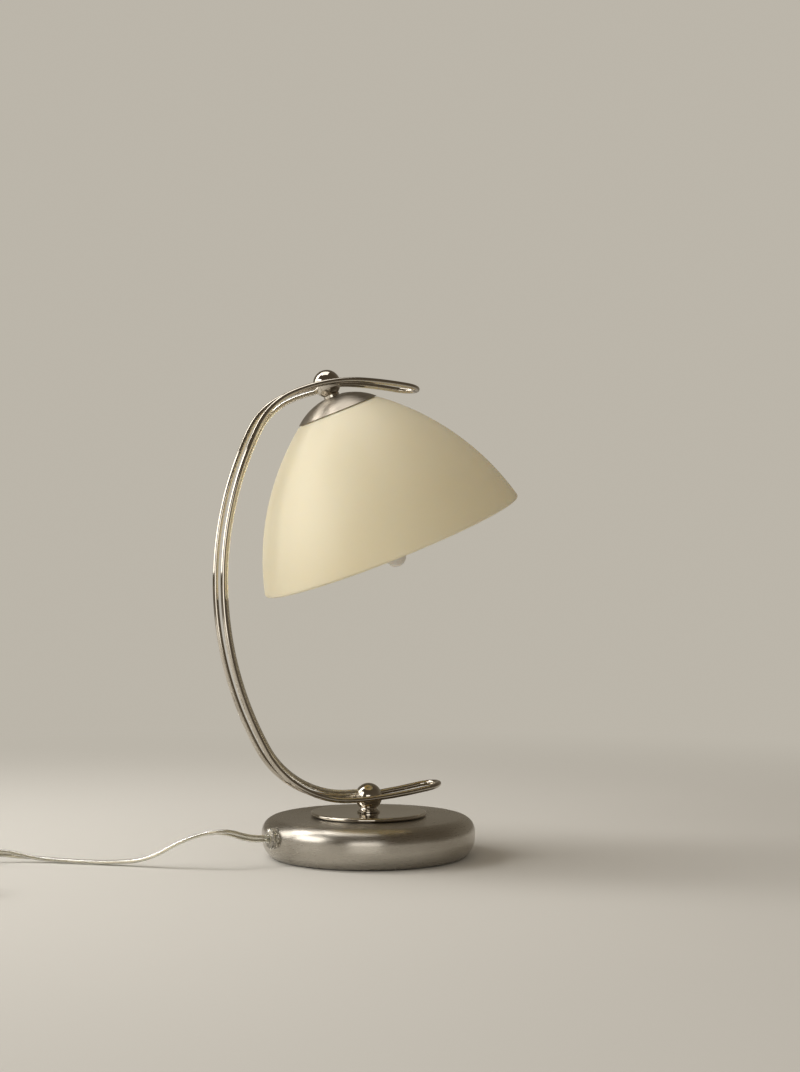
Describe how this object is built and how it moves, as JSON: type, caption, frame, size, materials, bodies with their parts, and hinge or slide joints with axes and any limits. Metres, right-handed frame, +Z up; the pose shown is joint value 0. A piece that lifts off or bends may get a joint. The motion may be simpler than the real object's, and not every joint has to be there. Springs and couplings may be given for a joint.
{
  "type": "arc table lamp",
  "caption": "Table lamp with a bowl-shaped glass shade hung from a C-shaped arc of steel rod on a weighted round base, with a flat cord, cord switch and plug.",
  "frame": {"origin": "on the table, at the middle of the round base's foam pad", "axes": "+Z up; the arc lies in the XZ plane with its back towards -X and its opening and the shade's mouth towards +X; the cord leaves the base near -X, 12 degrees round towards -Y"},
  "size_m": [0.4935, 0.2004, 0.3547],
  "materials": {
    "shell_steel": "satin, brushed round the axis",
    "polished_steel": "mirror polish",
    "zinc_steel": "zinc plated",
    "weight_iron": "black paint on a cast face",
    "foam_pad": "dull foam",
    "nylon": "satin",
    "clear_cord": "clear, glossy",
    "clear_plastic": "clear, glossy",
    "opal_glass": "frosted outside",
    "bulb_glass": "frosted",
    "holder_plastic": "satin",
    "ceramic": "glazed",
    "silicone": "dull",
    "brass": "plain",
    "plated_brass": "nickel plated",
    "white_plastic": "satin gloss",
    "tie_plastic": "satin",
    "terminal_plastic": "translucent",
    "core_insulation": "satin"
  },
  "bodies": {
    "base": {"base_shell": "shell_steel", "base_posts": "zinc_steel", "base_weight": "weight_iron", "base_cover": "zinc_steel", "cover_screws": "zinc_steel", "base_pad": "foam_pad", "trim_disc": "polished_steel", "friction_washer": "nylon", "cord_bushing": "clear_plastic", "bushing_nut": "clear_plastic", "inner_cord": "clear_cord", "cord_clamp": "zinc_steel", "terminal_block": "terminal_plastic", "stem_wires": "core_insulation", "cord_lead": "clear_cord", "cord_link": "clear_cord", "cord_tail": "clear_cord", "cord_coil": "clear_cord", "coil_tie": "tie_plastic", "switch_base": "white_plastic", "switch_lid": "white_plastic", "switch_contacts": "brass", "plug_body": "white_plastic", "plug_pins": "plated_brass"},
    "arm": {"arc_rods": "polished_steel", "arm_pins": "polished_steel", "arc_cable": "clear_cord", "lower_ball": "polished_steel", "swivel_foot": "polished_steel", "swivel_stem": "zinc_steel", "spring_washer": "zinc_steel", "stem_nut": "zinc_steel"},
    "head": {"upper_ball": "polished_steel", "neck_collar": "polished_steel", "head_nipple": "zinc_steel", "shade_cap": "shell_steel", "cap_nut": "zinc_steel", "lampholder_cap": "holder_plastic", "shade_gasket": "silicone", "glass_shade": "opal_glass", "shade_ring": "holder_plastic", "lampholder_body": "holder_plastic", "socket_core": "ceramic", "thread_sleeve": "brass", "centre_contact": "brass", "head_wires": "core_insulation", "bulb_cap": "plated_brass", "bulb_glass": "bulb_glass", "bulb_stem": "bulb_glass"},
    "rocker": {"switch_rocker": "white_plastic"}
  },
  "joints": [
    {"name": "arm_swivel", "type": "hinge", "parent": "base", "child": "arm", "pos_m": [0, 0, 0.043], "axis": [0, 0, 1], "range_deg": [-170, 170]},
    {"name": "shade_tilt", "type": "hinge", "parent": "arm", "child": "head", "pos_m": [-0.03205, 0, 0.34471], "axis": [0, 1, 0], "range_deg": [-8, 8]},
    {"name": "switch_rock", "type": "hinge", "parent": "base", "child": "rocker", "pos_m": [-0.307, 0.058, 0.013], "axis": [0, 1, 0], "range_deg": [-16, 0]}
  ]
}
